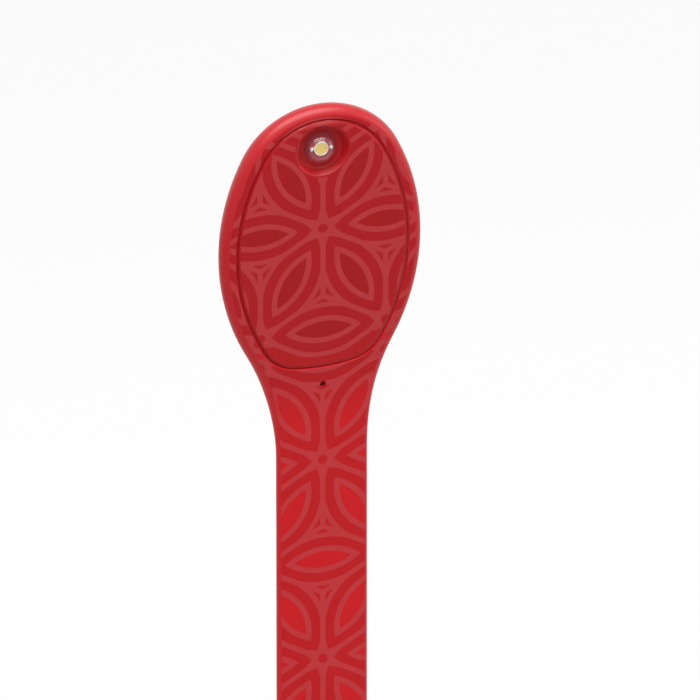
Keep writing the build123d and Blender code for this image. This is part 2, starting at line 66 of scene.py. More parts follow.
# Places closer than this are taken to be the same, in millimetres
NEAR = 0.01
WELD = 0.001
# A face whose normal has more than this along an axis looks along it
FACING = 0.9
BEVEL_STEPS = 3
# Small round pieces stay smooth over turns up to this many degrees
ROUND_ANGLE = 60.0
# Where the grain's noise lies, and where in it the fleck's colour starts and is full
GRAIN_DETAIL = 3.0
GRAIN_RANGE = (0.3, 0.7)
FLECK_RANGE = (0.3, 0.75)

# Places that the new pieces share with the solids
FACE_Y = -1.0
LED_Z = 175.8
DISH_BACK_Y = 1.05
LENS_BACK_Y = 1.4
LENS_RIM_Y = 0.6
PHOSPHOR_Y = 0.4
POST_X = 1.6
BOARD_FRONT_Y = 1.75
BOARD_REAR_Y = 2.25
BUTTON_Z = 177.0
SLEEVE_Z = (65.71288, 79.71288, 93.71288, 107.71288)
SKIN_WIDTH = 19.0
SKIN_THICKNESS = 2.0
SKIN_ROUND = 0.9
STRIP_SLOT_WIDTH = 10.1
STRIP_SLOT_THICKNESS = 0.6


class Slot(Enum):
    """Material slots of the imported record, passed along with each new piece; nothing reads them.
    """

    SKIN = "soft_touch_skin"
    LENS = "clear_lens"
    METAL = "plated_metal"
    BUTTON = "button_rubber"
    CELL = "cell_case"


def linear(colour: str) -> tuple[float, float, float, float]:
    """Turns an sRGB hex colour into linear light.

    Args:
        colour: Six hex digits.

    Returns:
        Red, green, blue and an alpha of one.
    """
    parts = [int(colour[k : k + 2], 16) / 255 for k in (0, 2, 4)]
    red, green, blue = (p / 12.92 if p <= 0.04045 else ((p + 0.055) / 1.055) ** 2.4 for p in parts)
    return (red, green, blue, 1.0)


def add_node(
    tree: Tree, kind: str, inputs: dict | None = None, out: int | str = 0, **settings: object
) -> Socket | None:
    """Adds a node with its settings, values and links.

    Args:
        tree: Node tree that gets the node.
        kind: Blender's name of the node type, without the ShaderNode that it starts with.
        inputs: Values, or output sockets to link, by the input's name or number.
        out: Name or number of the output that is given back.
        settings: Node properties by name.

    Returns:
        The output socket, or None for a node without outputs.
    """
    node = tree.nodes.new(f"ShaderNode{kind}")
    for name, value in settings.items():
        setattr(node, name, value)
    for key, value in (inputs or {}).items():
        if isinstance(value, Socket):
            tree.links.new(value, node.inputs[key])
        else:
            node.inputs[key].default_value = value
    return node.outputs[out] if node.outputs else None


def empty_tree(owner: bpy.types.Material | bpy.types.World) -> Tree:
    """Turns a material's or a world's nodes on and clears them.

    Args:
        owner: The material or world.

    Returns:
        Its empty node tree.
    """
    owner.use_nodes = True
    owner.node_tree.nodes.clear()
    return owner.node_tree


@dataclass(frozen=True)
class Finish:
    """A procedural finish: one shader with fine grain in its colour, gloss and relief."""

    name: str
    colour: str
    fleck: str
    roughness: float
    grain: float
    relief: float
    metallic: float = 0.0
    specular: float = 0.5
    stretch: Triple = (1.0, 1.0, 1.0)
    roughness_spread: float = 0.08

    def shade(self, tree: Tree, grain: Socket) -> Socket:
        """Gives the surface colour.

        Args:
            tree: Node tree of the material.
            grain: The grain's value, from 0 to 1.

        Returns:
            Colour for the shader's base.
        """
        colour = add_node(tree, "ValToRGB", {"Fac": grain})
        inks = (self.colour, self.fleck)
        for element, place, ink in zip(colour.node.color_ramp.elements, FLECK_RANGE, inks):
            element.position, element.color = place, linear(ink)
        return colour

    def extra(self, tree: Tree, normal: Socket) -> dict:
        """Gives the shader inputs that only some finishes have."""
        return {}

    def form(self, tree: Tree, normal: Socket) -> Socket:
        """Gives the surface's normal once any larger form is added to its grain."""
        return normal

    def make(self) -> bpy.types.Material:
        """Builds the material.

        Returns:
            The material, named for what it is and how it is made.
        """
        material = bpy.data.materials.new(self.name)
        tree = empty_tree(material)
        place = add_node(tree, "TexCoord", out="Object")
        stretched = add_node(tree, "Mapping", {"Vector": place, "Scale": self.stretch})
        grain = add_node(
            tree,
            "TexNoise",
            {"Vector": stretched, "Scale": 1 / (self.grain * MM), "Detail": GRAIN_DETAIL},
        )
        rough = add_node(
            tree,
            "MapRange",
            {
                "Value": grain,
                "From Min": GRAIN_RANGE[0],
                "From Max": GRAIN_RANGE[1],
                "To Min": self.roughness - self.roughness_spread,
                "To Max": self.roughness + self.roughness_spread,
            },
        )
        bump = add_node(tree, "Bump", {"Height": grain, "Distance": self.relief * MM})
        normal = self.form(tree, bump)
        shader = add_node(
            tree,
            "BsdfPrincipled",
            {
                "Base Color": self.shade(tree, grain),
                "Roughness": rough,
                "Metallic": self.metallic,
                "Specular IOR Level": self.specular,
                "Normal": normal,
                **self.extra(tree, normal),
            },
        )
        add_node(tree, "OutputMaterial", {"Surface": shader})
        return material


class Base(Enum):
    """Part of the light that a print is laid on."""

    PANEL = "panel"
    HEAD = "head"
    NECK = "neck"


@dataclass(frozen=True)
class PrintedSkin(Finish):
    """Soft-touch finish with the petal print, two inks on the moulded red.

    The petals lie along the lines of a triangular lattice, as overlapping circles give them.
    The head is printed in two passes: one goes round the rim above rim_foot in line with the
    panel's, and the other goes down the neck from body_top.
    """

    base: Base = Base.HEAD
    # Middles of the two passes, across and up, and where the head has one and the other
    hub: Pair = (-0.1, 151.75)
    rim_hub: Pair = (-0.4, 157.6)
    rim_foot: float = 132.5
    body_top: float = 131.2
    # Inks and the reds under them, with brighter reds and a lift painted down the neck as painted
    # light, a brighter red painted deep in the seam as bounced light, and painted shade at its
    # mouth
    light: str = "AE2E32"
    band: str = "A40712"
    inner: str = "A40712"
    painted_lift_band: str = "AC0812"
    painted_lift_inner: str = "B80A14"
    painted_bounce_red: str = "DA121C"
    seam_shade: str = "AB0E18"
    painted_lift_tint: tuple[float, float, float, float] = (1.14, 1.0, 1.0, 1.0)
    painted_lift_span: Pair = (130.0, 114.0)
    # Petals, the spokes between them, hubs and small stars
    pitch: float = 26.26
    arc_radius: float = 14.2
    arc_offset: float = 9.2
    band_width: float = 2.03
    ring_end: float = 3.2
    spoke_half: float = 0.55
    hub_radius: float = 2.25
    hub_heart: float = 1.0
    star_gap: float = 1.05
    star_arm: float = 0.42
    fine_edge: float = 0.008
    # Where the print stops: through the depth, at the lamp, low on the panel and on the sleeve
    face_depth: float = -0.96
    clear_of_lamp: float = 5.9
    strip_edge: float = 1.1
    sleeve_print_half: float = 8.83
    # Where on the seam's walls the painted shade and the painted bounce light lie, through the
    # depth, and what faces out from the middle
    shade_depth: Pair = (-0.985, -0.87)
    painted_bounce_depth: Pair = (-0.88, 0.3)
    face_middle: Triple = (0.0, 0.0, 155.0)
    outward: float = 1.0
    outward_soft: float = 0.5
    # The panel's rounded border, and its ridge above the dish
    border_depth: Pair = (-1.0, -0.78)
    border_fall: float = 0.35
    border_clear: float = 6.05
    crown_heights: Pair = (180.7, 182.3)
    crown_clear: float = 5.75
    crown_soft: float = 0.2
    # Soft surface, and the gloss where it is rubbed
    sheen: float = 0.1
    sheen_roughness: float = 0.4
    worn_gloss: float = 0.62
    worn_roughness: float = 0.35
    worn_lean: Pair = (0.05, 0.45)

    def extra(self, tree: Tree, normal: Socket) -> dict:
        """Gives the sheen of the soft surface, and the gloss of its rubbed upper edges.

        Args:
            tree: Node tree of the material.
            normal: The surface's normal with its relief.

        Returns:
            Inputs of the shader.
        """
        if self.base is Base.NECK:
            return {"Sheen Weight": self.sheen, "Sheen Roughness": self.sheen_roughness}
        smooth = add_node(tree, "TexCoord", out="Normal")
        rise = add_node(tree, "SeparateXYZ", {0: smooth}, out=2)
        if self.base is Base.PANEL:
            rise = self.either(tree, rise, self.crown(tree))
        wear_and_painted_lift_mask = self.both(tree, self.ramp(tree, rise, *self.worn_lean), self.worn_gloss)
        if self.base is Base.HEAD:
            out = self.step(tree, self.turned_out(tree), self.outward, True, self.outward_soft)
            wear_and_painted_lift_mask = self.both(tree, wear_and_painted_lift_mask, out)
        return {
            "Sheen Weight": self.sheen,
            "Sheen Roughness": self.sheen_roughness,
            "Coat Weight": wear_and_painted_lift_mask,
            "Coat Roughness": self.worn_roughness,
            "Coat Normal": normal,
        }

    def form(self, tree: Tree, normal: Socket) -> Socket:
        """Rounds the panel's border, whose solid has a flat bevel there.

        Args:
            tree: Node tree of the material.
            normal: The normal with the grain.

        Returns:
            The normal, leaning out more and more towards the panel's edge.
        """
        if self.base is not Base.PANEL:
            return normal
        share = self.ramp(tree, self.depth(tree), *self.border_depth)
        off_lamp = self.step(tree, self.from_lamp(tree), self.border_clear, True)
        border = self.both(tree, self.both(tree, share, share), off_lamp)
        crown = self.crown(tree)
        fall = self.either(tree, border, self.both(tree, crown, crown))
        return add_node(
            tree,
            "Bump",
            {"Height": fall, "Distance": self.border_fall * MM, "Normal": normal},
            invert=True,
        )

    def crown(self, tree: Tree) -> Socket:
        """Gives the mask that rises to the top of the panel's narrow ridge above the dish.

        Args:
            tree: Node tree of the material.

        Returns:
            The mask.
        """
        rise = self.ramp(tree, self.height(tree), *self.crown_heights)
        lamp = self.from_lamp(tree)
        return self.both(tree, rise, self.step(tree, lamp, self.crown_clear, True, self.crown_soft))

    def place(self, tree: Tree) -> Socket:
        """Gives the place on the piece in millimetres."""
        metres = add_node(tree, "TexCoord", out="Object")
        return add_node(tree, "VectorMath", {0: metres, "Scale": 1 / MM}, operation="SCALE")

    def depth(self, tree: Tree) -> Socket:
        """Gives the place through the light's depth in millimetres, from its front back."""
        return add_node(tree, "SeparateXYZ", {0: self.place(tree)}, out=1)

    def from_lamp(self, tree: Tree) -> Socket:
        """Gives the distance in millimetres from the middle of the dish's mouth."""
        ends = {0: self.place(tree), 1: (0.0, FACE_Y, LED_Z)}
        return add_node(tree, "VectorMath", ends, operation="DISTANCE", out=1)

    def face_plane(self, tree: Tree, hub: Pair) -> Socket:
        """Gives the place on the light's face.

        Args:
            tree: Node tree of the material.
            hub: Across and up the light to the point that places are taken from.

        Returns:
            Millimetres across and up from the hub.
        """
        if self.base is Base.NECK:
            place = add_node(tree, "UVMap", uv_map="print")
            turn, scale = (0.0, 0.0, 0.0), (1 / MM, 1 / MM, 0.0)
        else:
            place = add_node(tree, "TexCoord", out="Object")
            turn, scale = (-math.pi / 2, 0.0, 0.0), (1 / MM, 0.0, 1 / MM)
        shift = (-hub[0], -hub[1], 0.0)
        return add_node(
            tree, "Mapping", {"Vector": place, "Rotation": turn, "Scale": scale, "Location": shift}
        )

    def height(self, tree: Tree) -> Socket:
        """Gives the height up the light in millimetres."""
        flat = self.face_plane(tree, (0.0, 0.0))
        return add_node(tree, "SeparateXYZ", {0: flat}, out=1)

    def lattice(self, tree: Tree) -> Socket:
        """Folds the face's plane into the one twelfth of a lattice cell that repeats.

        Args:
            tree: Node tree of the material.

        Returns:
            The folded point, in millimetres from its hub, with the cell's edge along X.
        """
        flat = self.face_plane(tree, self.hub)
        if self.base is Base.HEAD:
            on_rim = self.step(tree, self.height(tree), self.rim_foot, True)
            flat = add_node(
                tree,
                "Mix",
                {"Factor": on_rim, 4: flat, 5: self.face_plane(tree, self.rim_hub)},
                data_type="VECTOR",
                out=1,
            )
        half = (self.pitch / 2, self.pitch * SIN_60, 1.0)
        wrapped = add_node(
            tree, "VectorMath", {0: flat, 1: half, 2: tuple(-h for h in half)}, operation="WRAP"
        )
        corner = add_node(tree, "VectorMath", {0: wrapped}, operation="ABSOLUTE")
        other = add_node(
            tree, "VectorMath", {0: (half[0], half[1], 0.0), 1: corner}, operation="SUBTRACT"
        )
        near, far = (
            add_node(tree, "VectorMath", {0: point}, operation="LENGTH", out=1)
            for point in (corner, other)
        )
        closer = add_node(tree, "Math", {0: near, 1: far}, operation="GREATER_THAN")
        nearest = add_node(
            tree, "Mix", {"Factor": closer, 4: corner, 5: other}, data_type="VECTOR", out=1
        )
        mirror = (-0.5, SIN_60, 0.0)
        past = add_node(tree, "VectorMath", {0: nearest, 1: mirror}, operation="DOT_PRODUCT", out=1)
        over = add_node(tree, "Math", {0: past, 1: 0.0}, operation="MAXIMUM")
        back = add_node(
            tree, "VectorMath", {0: tuple(-2 * m for m in mirror), "Scale": over}, operation="SCALE"
        )
        folded = add_node(tree, "VectorMath", {0: nearest, 1: back}, operation="ADD")
        return add_node(tree, "VectorMath", {0: folded}, operation="ABSOLUTE")

    def ramp(self, tree: Tree, value: Socket, start: float, end: float) -> Socket:
        """Gives the mask that goes from 0 at the value start to 1 at the value end."""
        return add_node(tree, "MapRange", {"Value": value, "From Min": start, "From Max": end})

    def step(
        self, tree: Tree, value: Socket, low: float, rising: bool, soft: float = 0.04
    ) -> Socket:
        """Gives a printed edge: 0 or 1 on either side of a limit, and soft across it.

        Args:
            tree: Node tree of the material.
            value: Distance in millimetres.
            low: The limit.
            rising: True where the mask is one above the limit.
            soft: Half the width of the soft edge.

        Returns:
            The mask.
        """
        reach = soft if rising else -soft
        return self.ramp(tree, value, low - reach, low + reach)

    def both(self, tree: Tree, first: Socket, second: Socket | float) -> Socket:
        """Gives the mask of what two masks share, or a mask at a lower strength."""
        return add_node(tree, "Math", {0: first, 1: second}, operation="MULTIPLY")

    def either(self, tree: Tree, first: Socket, second: Socket) -> Socket:
        """Gives the mask of what either mask covers."""
        return add_node(tree, "Math", {0: first, 1: second}, operation="MAXIMUM")

    def lay(self, tree: Tree, under: Socket | str, ink: Socket | str, mask: Socket) -> Socket:
        """Lays an ink over a colour where its mask is one."""
        below, over = (linear(c) if isinstance(c, str) else c for c in (under, ink))
        return add_node(tree, "Mix", {"Factor": mask, 6: below, 7: over}, data_type="RGBA", out=2)

    def shade(self, tree: Tree, grain: Socket) -> Socket:
        """Gives the printed surface's colour, with painted light down the neck and painted light
        and shade in the seam.

        Args:
            tree: Node tree of the material.
            grain: The grain's value, from 0 to 1.

        Returns:
            Colour for the shader's base.
        """
        plain = super().shade(tree, grain)
        point = self.lattice(tree)
        reach = add_node(
            tree,
            "VectorMath",
            {0: point, 1: (self.pitch / 2, -self.arc_offset, 0.0)},
            operation="DISTANCE",
            out=1,
        )
        outside = add_node(tree, "Math", {0: reach, 1: self.arc_radius}, operation="SUBTRACT")
        hub = add_node(tree, "VectorMath", {0: point}, operation="LENGTH", out=1)
        arm = add_node(
            tree, "VectorMath", {0: point, 1: (0.5, -SIN_60, 0.0)}, operation="DOT_PRODUCT", out=1
        )
        # Painted light: the reds brighten down the neck, standing in for light bounced up onto it
        wear_and_painted_lift_mask = self.ramp(tree, self.height(tree), *self.painted_lift_span)
        colour = self.lay(tree, self.inner, self.painted_lift_inner, wear_and_painted_lift_mask)
        band = self.lay(tree, self.band, self.painted_lift_band, wear_and_painted_lift_mask)
        star = self.both(
            tree,
            self.step(tree, outside, self.star_gap, True),
            self.step(tree, arm, self.star_arm, True),
        )
        layers = (
            (self.light, self.step(tree, outside, -self.ring_end, True)),
            (band, self.step(tree, outside, -self.band_width, True)),
            (self.light, self.step(tree, outside, 0.0, True)),
            (band, star),
            (self.light, self.step(tree, arm, self.spoke_half, False)),
            (self.light, self.step(tree, hub, self.hub_radius, False)),
            (band, self.step(tree, hub, self.hub_heart, False)),
            (plain, self.bare(tree)),
        )
        for ink, mask in layers:
            colour = self.lay(tree, colour, ink, mask)
        # Painted light: the whole colour is lifted down the neck
        colour = add_node(
            tree,
            "Mix",
            {"Factor": wear_and_painted_lift_mask, 6: colour, 7: self.painted_lift_tint},
            data_type="RGBA",
            blend_type="MULTIPLY",
            out=2,
        )
        if self.base is Base.NECK:
            return colour
        # Painted shade near the seam's mouth, then a brighter red painted deep in it as bounced
        # light
        colour = self.lay(tree, colour, self.seam_shade, self.seam(tree, self.shade_depth))
        return self.lay(tree, colour, self.painted_bounce_red, self.seam(tree, self.painted_bounce_depth))

    def seam(self, tree: Tree, depths: Pair) -> Socket:
        """Gives the mask of the walls on either side of the panel's seam.

        Deep in it a brighter red is painted for the red light that the walls pass between them, and
        near its mouth painted shade darkens them.

        Args:
            tree: Node tree of the material.
            depths: Where the mask starts and ends through the light's depth, in millimetres.

        Returns:
            The mask.
        """
        depth = self.depth(tree)
        inside = self.both(
            tree,
            self.step(tree, depth, depths[0], True, self.fine_edge),
            self.step(tree, depth, depths[1], False, self.fine_edge),
        )
        if self.base is Base.PANEL:
            aside = self.step(tree, self.from_lamp(tree), self.clear_of_lamp, True)
        else:
            aside = self.step(tree, self.turned_out(tree), self.outward, False)
        return self.both(tree, inside, aside)

    def turned_out(self, tree: Tree) -> Socket:
        """Gives how far the surface faces away from the middle of the face, in millimetres.

        Args:
            tree: Node tree of the material.

        Returns:
            Above zero on the rim's outside, and below it on the seam's wall.
        """
        outwards = add_node(
            tree, "VectorMath", {0: self.place(tree), 1: self.face_middle}, operation="SUBTRACT"
        )
        flat = add_node(tree, "VectorMath", {0: outwards, 1: (1.0, 0.0, 1.0)}, operation="MULTIPLY")
        return add_node(
            tree,
            "VectorMath",
            {0: add_node(tree, "TexCoord", out="Normal"), 1: flat},
            operation="DOT_PRODUCT",
            out=1,
        )

    def bare(self, tree: Tree) -> Socket:
        """Gives the mask of the surface that has no print.

        Args:
            tree: Node tree of the material.

        Returns:
            The mask.
        """
        if self.base is Base.NECK:
            flat = self.face_plane(tree, (0.0, 0.0))
            across = add_node(tree, "SeparateXYZ", {0: flat})
            off = add_node(tree, "Math", {0: across}, operation="ABSOLUTE")
            return self.step(tree, off, self.sleeve_print_half, True)
        edge = self.step(tree, self.depth(tree), self.face_depth, True)
        height = self.height(tree)
        if self.base is Base.HEAD:
            gap = self.both(
                tree,
                self.step(tree, height, self.body_top, True),
                self.step(tree, height, self.rim_foot, False),
            )
            return self.either(tree, edge, gap)
        row = -self.pitch * SIN_60
        arc = add_node(
            tree,
            "VectorMath",
            {0: self.face_plane(tree, self.hub), 1: (0.0, row + self.arc_offset, 0.0)},
            operation="DISTANCE",
            out=1,
        )
        low = self.both(
            tree,
            self.step(tree, height, self.hub[1] + row - self.hub_radius, False),
            self.step(tree, arc, self.arc_radius + self.strip_edge, True),
        )
        dish = self.step(tree, self.from_lamp(tree), self.clear_of_lamp, False)
        return self.either(tree, self.either(tree, edge, low), dish)


@dataclass(frozen=True)
class ClearResin(Finish):
    """Cast clear epoxy of the lamp's dome."""

    index: float = 1.5

    def extra(self, tree: Tree, normal: Socket) -> dict:
        """Gives the inputs that let light through."""
        return {"Transmission Weight": 1.0, "IOR": self.index}


# Soft-touch elastomer moulded over the body: silky, with a low broad gloss and no grain to see.
SKIN = dict(colour="B4161E", fleck="B71A22", roughness=0.4, grain=0.35, relief=0.003, specular=0.15)
HEAD_SKIN = PrintedSkin("soft_touch_elastomer_moulded_and_printed", face_depth=-0.92, **SKIN)
NECK_SKIN = PrintedSkin("soft_touch_elastomer_sleeve_printed", base=Base.NECK, **SKIN)
PANEL_SKIN = PrintedSkin(
    "soft_touch_lacquer_on_moulded_panel",
    base=Base.PANEL,
    hub=(0.0, 158.5),
    inner="9D040B",
    painted_bounce_depth=(-0.77, 0.0),
    shade_depth=(-0.81, -0.77),
    **{**SKIN, "colour": "A6060F", "fleck": "A90A13"},
)
# Injection-moulded ABS with a fine spark-eroded texture: even, dull and a little rough.
FRAME_PLASTIC = Finish("abs_moulded_frame", "2A2628", "332E31", 0.55, 0.3, 0.006)
DOOR_PLASTIC = Finish("abs_moulded_door", "A81C24", "AC2128", 0.5, 0.3, 0.006, specular=0.3)
# Moulded nylon of the switch: black, smooth and a little waxy.
SWITCH_PLASTIC = Finish("nylon_moulded_switch", "1B1B1D", "262628", 0.45, 0.2, 0.003)
# Moulded silicone rubber: dark red and matt.
BUTTON_RUBBER = Finish(
    "silicone_moulded_button", "8E1820", "951D25", 0.6, 0.25, 0.004, specular=0.3
)
# Cast clear epoxy: wet-looking, with sharp reflections.
LENS_RESIN = ClearResin(
    "epoxy_cast_clear", "FFFFFF", "FDFBFF", 0.11, 2.0, 0.0, roughness_spread=0.02
)
# Yellow phosphor in silicone: matt and powdery.
PHOSPHOR = Finish("phosphor_dispensed_silicone", "D5B85C", "DFC56E", 0.6, 0.15, 0.01)
# Nickel-plated spring bronze, stamped: pale warm metal with fine rolling lines.
PLATED = Finish(
    "bronze_stamped_nickel_plated", "CFCAC0", "E2DDD4", 0.25, 0.08, 0.002, 1.0, stretch=(1, 1, 0.1)
)
# Tin-plated lead frame, satin: milky metal that stays pale in the dome.
CUP_METAL = Finish("copper_stamped_satin_tin", "F2EFEA", "FFFFFF", 0.5, 0.08, 0.002, 1.0)
# Dark resin that seals the lamp's foot: wine-red and matt under the dome.
FOOT_RESIN = Finish("epoxy_cast_wine_red", "96303A", "9F3741", 0.6, 0.3, 0.004, specular=0.2)
# Glass-filled laminate under white mask: smooth with a faint weave.
BOARD = Finish("laminate_white_solder_mask", "DAD4D8", "E6E1E4", 0.4, 0.4, 0.006)
# Reflowed tin solder: bright, with a soft uneven skin.
SOLDER = Finish("solder_reflowed_tin", "C9CCD0", "DEE0E3", 0.24, 0.3, 0.004, 1.0)
# Drawn gold wire: a hair-thin warm glint.
GOLD_WIRE = Finish("gold_drawn_wire", "E3B04B", "EFC468", 0.25, 0.05, 0.001, 1.0)
# Moulded nylon ring between a cell's can and its cap: dark and dull.
GASKET = Finish("nylon_moulded_gasket", "2B2C30", "34353A", 0.5, 0.2, 0.003)
# Mark moulded proud of the button in the same rubber, paler where it is rubbed.
MARK_RUBBER = Finish("silicone_moulded_mark", "E2C9C6", "EAD3D0", 0.55, 0.2, 0.003, specular=0.3)
# Glazed top of a chip resistor: black and half glossy.
CERAMIC = Finish("resistor_glazed_ceramic", "161618", "202024", 0.3, 0.2, 0.003)
# Drawn stainless can of a coin cell: satin, with turned lines.
CELL_STEEL = Finish("steel_drawn_cell_case", "C4C5C8", "D6D7DA", 0.28, 0.12, 0.002, 1.0)
# Cold-headed steel with black zinc plating: dark, satin metal.
SCREW_STEEL = Finish("steel_black_zinc_screw", "4A4A4E", "5A5A5F", 0.35, 0.1, 0.003, 1.0)
# Rolled soft aluminium: pale satin metal with lines along the strip.
STRIP_METAL = Finish(
    "aluminium_rolled_soft_strip", "B8BABE", "CACCD0", 0.35, 0.1, 0.003, 1.0, stretch=(1, 1, 0.05)
)

NODE_FINISHES = {
    "head_skin": HEAD_SKIN,
    "face_panel": PANEL_SKIN,
    "inner_frame": FRAME_PLASTIC,
    "led_phosphor": PHOSPHOR,
    "led_lead_frame": CUP_METAL,
    "circuit_board": BOARD,
    "resistor": CERAMIC,
    "switch_body": SWITCH_PLASTIC,
    "switch_plunger": SWITCH_PLASTIC,
    "power_button": BUTTON_RUBBER,
    "battery_door": DOOR_PLASTIC,
    "door_screw": SCREW_STEEL,
    **{f"cell_{part}": CELL_STEEL for part in ("lower", "upper")},
    **{f"contact_{part}": PLATED for part in ("negative", "positive", "link")},
    **{f"bend_strip_{part}": STRIP_METAL for part in ("tail", "lower", "upper", "head")},
}


class Workshop:
    """Makes each material once, and holds the steps that every new piece goes through."""

    def __init__(self) -> None:
        """Starts with no material made."""
        self.made: dict[str, bpy.types.Material] = {}

    def material(self, finish: Finish) -> bpy.types.Material:
        """Gives a finish's material, made the first time."""
        if finish.name not in self.made:
            self.made[finish.name] = finish.make()
        return self.made[finish.name]

    def dress_node(self, name: str, finish: Finish) -> None:
        """Gives a solid of the frame its material."""
        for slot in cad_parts[name].material_slots:
            slot.material = self.material(finish)
        log.info("dressed %s: %s", name, finish.name)

    def start(self) -> None:
        """Leaves edit mode and deselects everything."""
        if bpy.context.object and bpy.context.object.mode != "OBJECT":
            bpy.ops.object.mode_set(mode="OBJECT")
        bpy.ops.object.select_all(action="DESELECT")

    def settle(self, name: str) -> Piece:
        """Names the new object and puts its place into its mesh, so that it is at the origin.

        Args:
            name: The piece's name.

        Returns:
            The piece.
        """
        piece = bpy.context.object
        piece.name = piece.data.name = name
        bpy.ops.object.transform_apply(location=True, rotation=True, scale=True)
        return piece

    def block(self, name: str, size: tuple, centre: tuple) -> Piece:
        """Adds a block and enters edit mode with nothing selected.

        Args:
            name: The piece's name.
            size: Width, depth and height in millimetres.
            centre: Its middle in millimetres.

        Returns:
            The new object.
        """
        self.start()
        bpy.ops.mesh.primitive_cube_add(
            size=1, location=Vector(centre) * MM, scale=Vector(size) * MM
        )
        piece = self.settle(name)
        bpy.ops.object.mode_set(mode="EDIT")
        bpy.ops.mesh.select_all(action="DESELECT")
        return piece

    def chip(self, name: str, size: tuple, centre: tuple, bevel: float) -> Piece:
        """Makes a small block with bevelled edges.

        Args:
            name: The piece's name.
            size: Width, depth and height in millimetres.
            centre: Its middle in millimetres.
            bevel: Width of the bevels in millimetres.

        Returns:
            The piece.
        """
        piece = self.block(name, size, centre)
        bpy.ops.mesh.select_all(action="SELECT")
        bpy.ops.mesh.bevel(offset=bevel * MM, segments=BEVEL_STEPS)
        bpy.ops.object.mode_set(mode="OBJECT")
        return piece

    def turned(self, name: str, centre: tuple, profile: list[tuple], segments: int = 48) -> Piece:
        """Turns a profile about an axis that runs through the light's depth.

        A profile that ends where it starts gives a ring, and one that ends on the axis is closed
        there in a point.

        Args:
            name: The piece's name.
            centre: Across and up the light to the axis, in millimetres.
            profile: Radius and depth of each step in millimetres, from the back forward.
            segments: Sides of the round.

        Returns:
            The piece, closed, with its faces outwards.
        """
        self.start()
        (across, up), (radius, depth) = centre, profile[0]
        ring = profile[0] == profile[-1]
        bpy.ops.mesh.primitive_circle_add(
            vertices=segments,
            radius=radius * MM,
            fill_type="NOTHING" if ring else "NGON",
            location=Vector((across, depth, up)) * MM,
            rotation=(math.pi / 2, 0, 0),
        )
        piece = self.settle(name)
        bpy.ops.object.mode_set(mode="EDIT")
        for next_radius, next_depth in profile[1:]:
            bpy.ops.mesh.extrude_region_move(
                TRANSFORM_OT_translate={"value": (0, (next_depth - depth) * MM, 0)}
            )
            grow = next_radius / radius
            bpy.ops.transform.resize(
                value=(grow, 1, grow), center_override=Vector((across, next_depth, up)) * MM
            )
            if next_radius == 0:
                bpy.ops.mesh.merge(type="COLLAPSE")
                break
            radius, depth = next_radius, next_depth
        bpy.ops.mesh.select_all(action="SELECT")
        bpy.ops.mesh.remove_doubles(threshold=WELD * MM)
        bpy.ops.mesh.normals_make_consistent(inside=False)
        bpy.ops.object.mode_set(mode="OBJECT")
        return piece

    def choose(self, piece: Piece, mode: str, wanted: Callable) -> None:
        """Selects faces or edges of the piece in edit mode.

        Args:
            piece: The piece in edit mode.
            mode: EDGE or FACE.
            wanted: Says of an edge's two ends, or of a face, whether it is selected.
        """
        bpy.ops.mesh.select_mode(type=mode)
        bpy.ops.mesh.select_all(action="DESELECT")
        bpy.ops.object.mode_set(mode="OBJECT")
        mesh = piece.data
        if mode == "EDGE":
            for edge in mesh.edges:
                edge.select = wanted(*(mesh.vertices[v].co / MM for v in edge.vertices))
        else:
            for face in mesh.polygons:
                face.select = wanted(face.center / MM, face.normal)
        bpy.ops.object.mode_set(mode="EDIT")

    def finish(self, piece: Piece, finish: Finish, slot: Slot, smooth_angle: float = 35.0) -> Piece:
        """Shades a piece and gives it its material.

        Args:
            piece: The piece.
            finish: Its finish.
            slot: Not used.
            smooth_angle: Edges sharper than this many degrees stay sharp.

        Returns:
            The piece.
        """
        self.start()
        piece.select_set(True)
        bpy.context.view_layer.objects.active = piece
        bpy.ops.object.shade_smooth_by_angle(angle=math.radians(smooth_angle))
        piece.data.materials.clear()
        piece.data.materials.append(self.material(finish))
        log.info("made %s: %d faces", piece.name, len(piece.data.polygons))
        return piece


